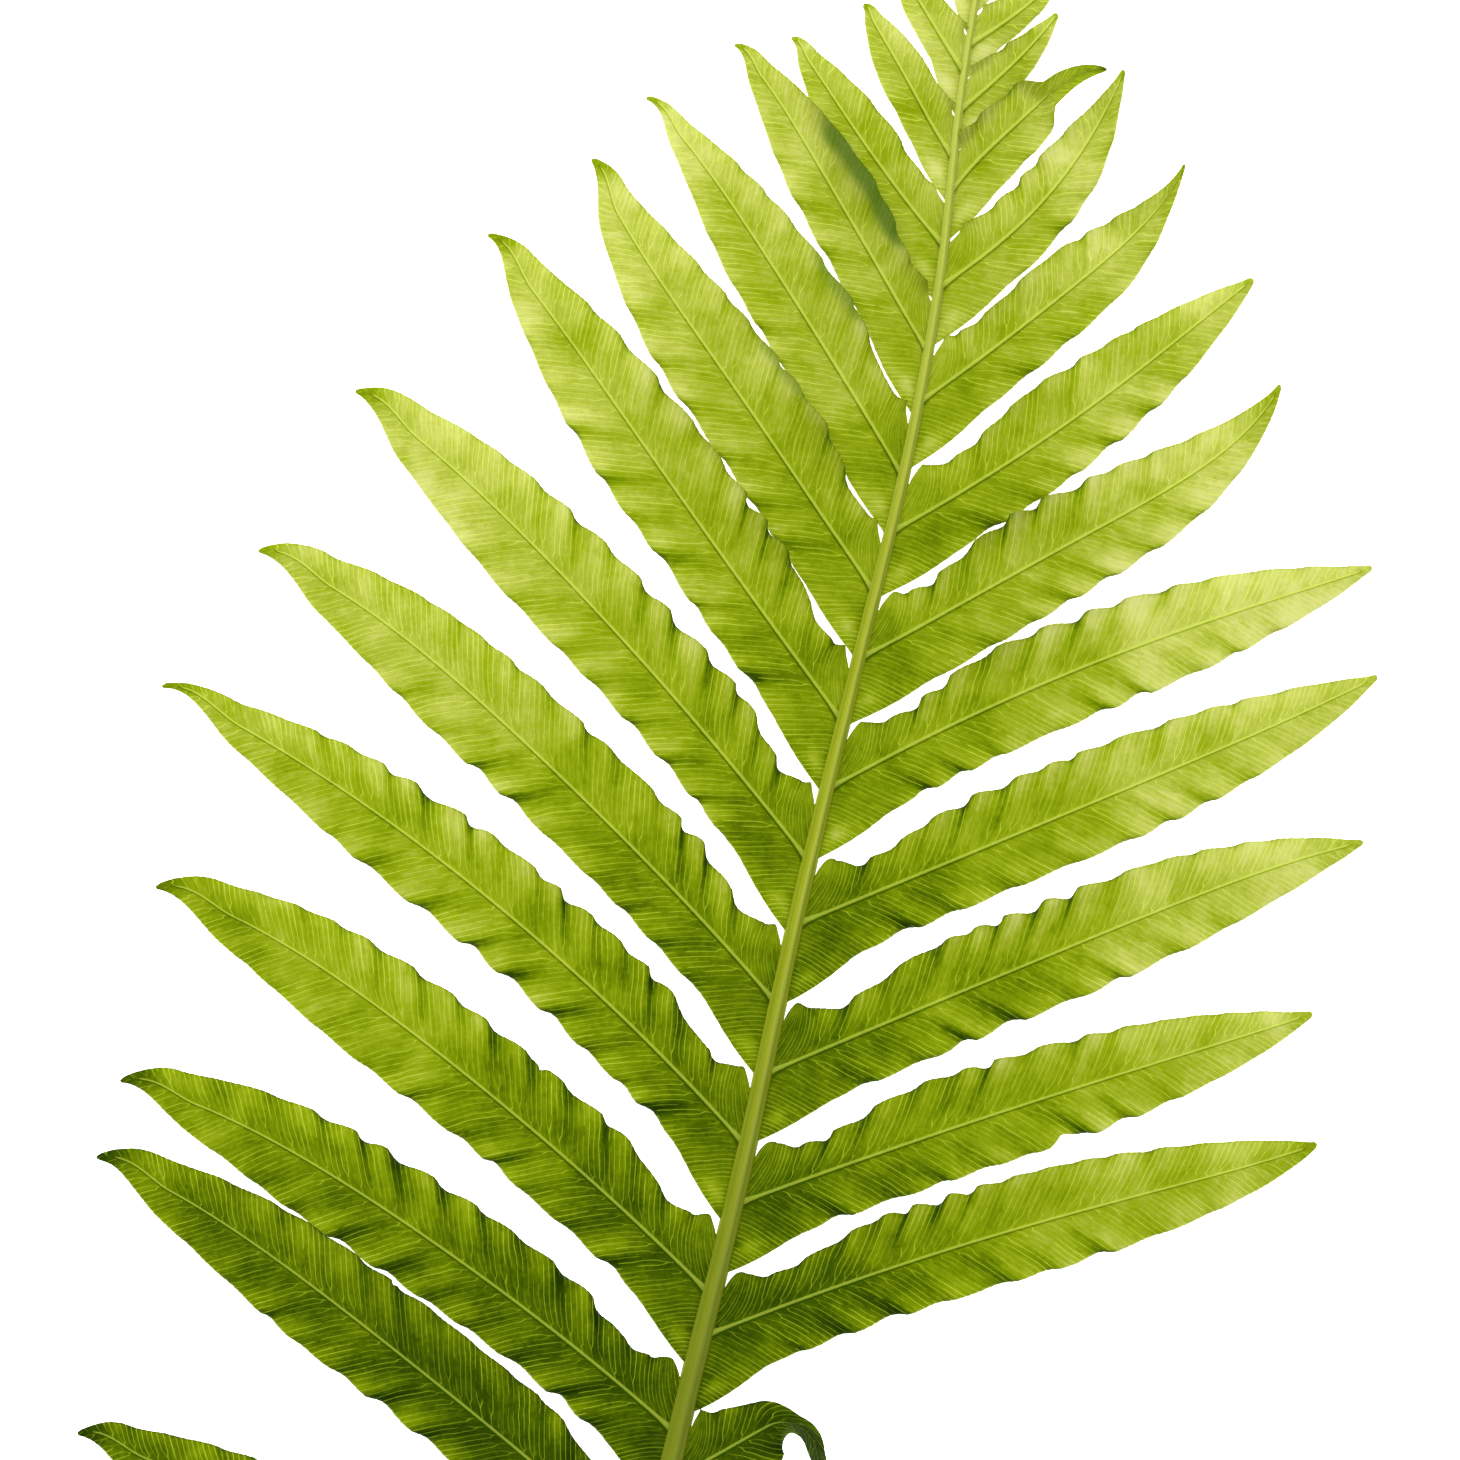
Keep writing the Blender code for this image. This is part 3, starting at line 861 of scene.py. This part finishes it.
leafFinish = {
    "seedScale": 30.0,
    "patchScale": 80.0,
    "grainScale": 900.0,
    # how much the painted light and shade of the folds move the tone
    "foldTone": 0.42,
    "marginTone": 0.05,
    "streakTone": 0.48,
    "patchTone": 0.70,
    "fineTone": 0.20,
    "grainTone": 0.22,
    "veinTone": 0.36,
    "rimGlowTone": 0.34,
    "rimDim": 0.14,
    "veinShare": 0.65,
    "ribShadowShare": 0.6,
    "midribShare": 0.8,
    "marginGlowShare": 0.5,
    "mostCurlShadow": 0.85,
    "bumpStrength": 0.5,
    "bumpDistance": 0.00012,
    "specular": 0.02,
    "midribLit": 0.12,
    "ribShadowLit": 0.34,
    "veinThrough": 0.60,
    "veinPitch": 2.7,
    "veinHalf": 0.135,
    "veinCore": 0.055,
    "forkAt": 2.6,
    "shades": ((0.00, (0.030, 0.065, 0.001)), (0.20, (0.090, 0.162, 0.001)),
               (0.40, (0.220, 0.315, 0.002)), (0.55, (0.350, 0.425, 0.012)),
               (0.75, (0.480, 0.515, 0.090)), (1.00, (0.600, 0.610, 0.330))),
    "veinColour": (0.58, 0.68, 0.06),
    "midribColour": (0.50, 0.57, 0.095),
    # painted shadow beside the midrib
    "ribShadowColour": (0.070, 0.150, 0.002),
    # painted light at the lower margins
    "marginGlowColour": (0.62, 0.68, 0.22),
    # painted shadow along the margins
    "curlShadowColour": (0.090, 0.130, 0.040),
    # painted shade where leaflets overlap
    "overlapShadeColour": (0.070, 0.200, 0.015),
    "shineThrough": 0.70,
    "throughDark": (0.035, 0.085, 0.001),
    "throughMiddle": (0.335, 0.405, 0.006),
    "throughPale": (0.630, 0.640, 0.360),
    "throughVein": (0.700, 0.820, 0.070),
    # the light through the painted shadow along the margins
    "throughCurlShadow": (0.100, 0.140, 0.060),
    # the light through the painted shade where leaflets overlap
    "throughOverlapShade": (0.075, 0.220, 0.020),
    "gloss": 0.55,
}


# Veins fork once on their way from the midrib to the margin: each starts at its own place
# along the midrib, one pitch from the next, and is split in two further out.
def makeLeafFinish():
    f = Finish("leafBlade")
    along, across = f.mapParts()
    outward = abs(across)
    side = f.maths("SIGN", across)
    object3d = f.node("ShaderNodeTexCoord", output="Object")
    seed = f.noise(object3d, leafFinish["seedScale"], 1.0)
    drift = f.noise(f.point(along * 0.09, across * 0.09, seed * 9.0), 1.0, 1.0)
    jitter = f.noise(f.point(along * 0.5, outward * 0.12, side * 3.0), 1.0, 1.0)
    origin = f.mark("origin") + drift * 1.4 + jitter * 0.2 + side * 0.4
    cell = origin / leafFinish["veinPitch"]
    whole = f.maths("FLOOR", cell)
    part = cell - whole - 0.5
    number = whole * 2.0 + f.maths("SIGN", part) * 0.5 + side * 0.2
    dice = f.node("ShaderNodeTexWhiteNoise", {"noise_dimensions": "1D"}, {"W": number})
    pair = f.node("ShaderNodeTexWhiteNoise", {"noise_dimensions": "1D"}, {"W": whole + side * 0.3})
    fork = 0.25 * f.smooth(outward, 0.3 + 1.2 * pair, 0.8 + leafFinish["forkAt"] * pair)
    offVein = abs(abs(part) - fork) * leafFinish["veinPitch"]
    breaks = f.noise(f.point(number * 3.7, outward * 0.30, seed), 1.0, 2.0)
    vein = f.smooth(offVein, leafFinish["veinHalf"], leafFinish["veinCore"])
    vein = vein * (0.35 + 0.65 * dice) * f.smooth(breaks, 0.32, 0.46)

    streak = f.noise(f.point(origin * 1.1, outward * 0.16, across * 0.01), 1.0, 3.0, 0.65)
    patch = f.noise(object3d, leafFinish["patchScale"], 3.0, 0.6)
    fine = f.noise(f.point(origin * 5.0, outward * 1.6, 0.3), 1.0, 3.0, 0.65)
    grain = f.noise(object3d, leafFinish["grainScale"], 2.0, 0.7)
    edge = f.mark("edge")
    toMargin = f.smooth(edge, 6.5, 0.5)
    fold = f.mark("fold")
    lean = f.mark("tone")
    rough = 0.65 + 0.2 * f.smooth(lean, 0.2, 0.5)
    # the folds' painted highlight and painted shade
    tone = lean + leafFinish["foldTone"] * fold * (0.7 + 0.6 * streak)
    tone = tone + leafFinish["marginTone"] * toMargin
    uneven = leafFinish["streakTone"] * (streak - 0.5) + leafFinish["patchTone"] * (patch - 0.5)
    uneven = uneven + leafFinish["fineTone"] * (fine - 0.5)
    tone = tone + rough * uneven
    tone = tone + leafFinish["grainTone"] * (grain - 0.5)

    rib = f.mark("rib")
    ridge = f.smooth(rib, 0.95, 0.45)
    # a painted shadow line beside the midrib, on its lower side
    beside = f.smooth(rib, 2.4, 1.3) * f.smooth(rib, 0.8, 1.2) * f.smooth(across, 0.2, -0.2)
    lower = f.smooth(across, 0.5, -0.5)
    # painted light: the lower margins paler where light comes through the thin edge, and every
    # edge a little darker
    rim = f.smooth(edge, 0.34, 0.06)
    # painted shadow along the margins, on the shaded slopes of the folds
    curl = f.mark("curl") * f.smooth(edge, 1.1, 0.1) * 1.3
    curl = f.maths("MINIMUM", curl, leafFinish["mostCurlShadow"])
    # painted shade where one leaflet lies over another
    double = f.mark("double")
    veinShare = f.maths("MAXIMUM", vein * (0.8 + 0.2 * toMargin) * (1.0 - beside), 0.5 * ridge)
    tone = tone + veinShare * leafFinish["veinTone"]
    tone = tone + rim * (leafFinish["rimGlowTone"] * lower - leafFinish["rimDim"])
    shade = f.node("ShaderNodeValToRGB", {"stops": leafFinish["shades"]}, {0: tone})
    colour = f.blend(veinShare * leafFinish["veinShare"], shade, leafFinish["veinColour"])
    colour = f.blend(beside * leafFinish["ribShadowShare"], colour, leafFinish["ribShadowColour"])
    colour = f.blend(ridge * leafFinish["midribShare"], colour, leafFinish["midribColour"])
    margin = rim * leafFinish["marginGlowShare"] * lower * (1.0 - curl)
    colour = f.blend(margin, colour, leafFinish["marginGlowColour"])
    colour = f.blend(curl, colour, leafFinish["curlShadowColour"])
    colour = f.blend(double, colour, leafFinish["overlapShadeColour"])
    height = 0.7 * vein + 0.4 * streak + 0.2 * fine
    bump = f.node("ShaderNodeBump", None, {
        "Strength": leafFinish["bumpStrength"],
        "Distance": leafFinish["bumpDistance"],
        "Height": height,
    })
    surface = f.node("ShaderNodeBsdfPrincipled", None, {
        "Base Color": colour,
        "Roughness": leafFinish["gloss"] + 0.2 * (streak - 0.5),
        "Specular IOR Level": leafFinish["specular"],
        "Normal": bump,
    })

    # the light that comes through goes from dark to pale in the same way, and carries the same
    # painted shadow beside the midrib and along the margins and painted shade where leaflets
    # overlap
    lit = tone + ridge * leafFinish["midribLit"] - beside * leafFinish["ribShadowLit"]
    layers = ("throughDark", "throughMiddle", "throughPale", "throughVein", "throughCurlShadow",
              "throughOverlapShade")
    deep, middle, pale, bright, curlShaded, twofold = (
        f.node("ShaderNodeBsdfTranslucent", None, {"Color": (*leafFinish[word], 1.0)})
        for word in layers)
    through = f.mixShaders(f.smooth(lit, 0.05, 0.55), deep, middle)
    through = f.mixShaders(f.smooth(lit, 0.45, 1.0), through, pale)
    through = f.mixShaders(veinShare * leafFinish["veinThrough"], through, bright)
    through = f.mixShaders(curl, through, curlShaded)
    through = f.mixShaders(double, through, twofold)
    return f.finish(f.mixShaders(leafFinish["shineThrough"], surface, through))


# A span says where along the rachis a change is none and where it is whole.
stalkFinish = {
    # the body colour, then the painted highlight along the top, which also colours the fine lines
    "flank": (0.215, 0.260, 0.004),
    "ridge": (0.318, 0.360, 0.036),
    "highlightAt": 0.22,
    # the darker older stalk, also used for the painted shade in the grooves
    "old": (0.115, 0.150, 0.004),
    "under": (0.160, 0.200, 0.010),
    "young": (0.420, 0.480, 0.090),
    "brown": (0.150, 0.085, 0.030),
    "cutFace": (0.420, 0.430, 0.200),
    "gloss": 0.42,
    "oldSpan": (20.0, -110.0),
    "brownSpan": (-215.0, -290.0),
    "youngSpan": (40.0, 190.0),
    "bumpStrength": 0.6,
    "bumpDistance": 0.0002,
    "specular": 0.12,
}


# A painted highlight along the top, a little off the middle, against darker flanks, painted
# shade in the two grooves, and fine lines along the length. It goes darker and then brown
# towards the cut and paler towards the tip; the cut itself is pale.
def makeStalkFinish():
    f = Finish("stalkSkin")
    along, share = f.mapParts()
    turn = f.mark("top")
    core = f.mark("core")
    object3d = f.node("ShaderNodeTexCoord", output="Object")
    lines = f.noise(f.point(along * 0.06, turn * 5.0, share * 3.0), 1.0, 3.0, 0.6)
    patch = f.noise(object3d, 60.0, 2.0)
    specks = f.noise(f.point(along * 0.5, turn * 2.0, share), 1.6, 2.0)
    # a painted highlight along the top, a little off the middle, so the flanks read darker
    crest = abs(share * pi - stalkFinish["highlightAt"])
    ridge = f.smooth(crest + 0.25 * (lines - 0.5), 0.36, 0.08)
    # painted shade in the two grooves
    groove = f.smooth(abs(turn - 0.66), 0.30, 0.05)
    under = f.smooth(turn, 1.9, 2.6)
    colour = f.blend(ridge, stalkFinish["flank"], stalkFinish["ridge"])
    colour = f.blend(0.45 * groove * (1.0 - ridge), colour, stalkFinish["old"])
    colour = f.blend(under, colour, stalkFinish["under"])
    colour = f.blend(0.35 * f.smooth(lines, 0.45, 0.75), colour, stalkFinish["ridge"])
    colour = f.blend(0.5 * f.smooth(specks, 0.68, 0.8), colour, stalkFinish["brown"])
    older = f.smooth(along, *stalkFinish["oldSpan"])
    colour = f.blend(0.75 * older, colour, stalkFinish["old"])
    lower = f.smooth(along + 40.0 * (patch - 0.5), *stalkFinish["brownSpan"])
    colour = f.blend(0.75 * lower, colour, stalkFinish["brown"])
    younger = f.smooth(along, *stalkFinish["youngSpan"])
    colour = f.blend(0.6 * younger, colour, stalkFinish["young"])
    colour = f.blend(f.smooth(core, 0.99, 0.9), colour, stalkFinish["cutFace"])
    bump = f.node("ShaderNodeBump", None, {
        "Strength": stalkFinish["bumpStrength"],
        "Distance": stalkFinish["bumpDistance"],
        "Height": lines + 0.3 * specks,
    })
    surface = f.node("ShaderNodeBsdfPrincipled", None, {
        "Base Color": colour,
        "Roughness": stalkFinish["gloss"] + 0.25 * (lines - 0.5),
        "Specular IOR Level": stalkFinish["specular"],
        "Normal": bump,
    })
    return f.finish(surface)


leafBlade = makeLeafFinish()
stalkSkin = makeStalkFinish()

stalk = makeRachis("rachis_skin")
stalk.data.materials.append(stalkSkin)
print("frond: rachis made")

count = 0
for word, rows in ranks.items():
    rooms = np.diff([row[0] for row in rows])
    rooms = [rooms[0], *rooms, rooms[-1]]
    for i, row in enumerate(rows):
        name = f"leaflet_{word}_{i + 1:02d}"
        seed = 100 + i if word == "left" else 300 + i
        leaf = makeLeaflet(name, word, row, rooms[i + 1], rooms[i], seed)
        leaf.data.materials.append(leafBlade)
        count += len(leaf.data.polygons)
lobedTip = makeTip("frond_tip")
lobedTip.data.materials.append(leafBlade)
print("frond: leaflets made,", 2 * count, "triangles")


studio = {
    "floorSize": 6.0,
    "floorHeight": -0.0002,
    "floorColour": (0.90, 0.90, 0.90),
    "floorGlow": 1.55,
    "worldStrength": 0.7,
    "keyPower": 16.0,
    "keySize": 0.7,
    "keyPlace": (-0.55, 0.75, 0.75),
    "keyColour": (1.0, 0.98, 0.94),
    "fillPower": 4.0,
    "fillSize": 1.2,
    "fillPlace": (0.8, -0.3, 0.9),
    "fillColour": (0.96, 0.98, 1.0),
    "lens": 180.0,
    "sensorWidth": 36.0,
    "clipStart": 0.01,
    "viewWidth": 292.0,
    "viewHeight": 4.0,
    "viewTurn": 12.0,
    "viewMiddle": (-20.8, 30.3),
}


# a square just under the ground plane, which glows a little
def makeFloor():
    half = studio["floorSize"] / 2
    z = studio["floorHeight"]
    mesh = bpy.data.meshes.new("floor")
    corners = [(-half, -half, z), (half, -half, z), (half, half, z), (-half, half, z)]
    mesh.from_pydata(corners, [], [(0, 1, 2, 3)])
    floor = bpy.data.objects.new("floor", mesh)
    bpy.context.scene.collection.objects.link(floor)
    f = Finish("paleFloor")
    pale = (*studio["floorColour"], 1.0)
    surface = f.node("ShaderNodeBsdfPrincipled", None, {
        "Base Color": pale, "Roughness": 0.9, "Specular IOR Level": 0.1,
        "Emission Color": (1.0, 1.0, 1.0, 1.0), "Emission Strength": studio["floorGlow"],
    })
    mesh.materials.append(f.finish(surface))


# a square lamp turned to the origin: its tilt and its bearing are two arc tangents
def makeLight(name):
    light = bpy.data.lights.new(name, "AREA")
    light.energy = studio[name + "Power"]
    light.size = studio[name + "Size"]
    light.color = studio[name + "Colour"]
    lamp = bpy.data.objects.new(name, light)
    bpy.context.scene.collection.objects.link(lamp)
    x, y, z = studio[name + "Place"]
    lamp.location = (x, y, z)
    lamp.rotation_euler = (np.arctan2(np.hypot(x, y), z), 0.0, np.arctan2(y, x) + pi / 2)


# straight down, as far off as makes the view as wide as it should be: its width times the lens
# over the sensor's width
def makeCamera():
    data = bpy.data.cameras.new("camera")
    data.lens = studio["lens"]
    data.sensor_width = studio["sensorWidth"]
    data.clip_start = studio["clipStart"]
    camera = bpy.data.objects.new("camera", data)
    bpy.context.scene.collection.objects.link(camera)
    away = studio["viewWidth"] * studio["lens"] / data.sensor_width
    middle = np.array([*studio["viewMiddle"], studio["viewHeight"] + away])
    camera.location = placeOf(middle)
    camera.rotation_euler = (0.0, 0.0, radians(studio["viewTurn"]))
    bpy.context.scene.camera = camera


makeFloor()
makeLight("key")
makeLight("fill")
world = bpy.data.worlds.new("studio")
world.use_nodes = True
sky = world.node_tree.nodes["Background"].inputs
sky["Color"].default_value = (1.0, 1.0, 1.0, 1.0)
sky["Strength"].default_value = studio["worldStrength"]
bpy.context.scene.world = world
bpy.context.scene.view_settings.view_transform = "Standard"
makeCamera()
print("frond: studio ready")
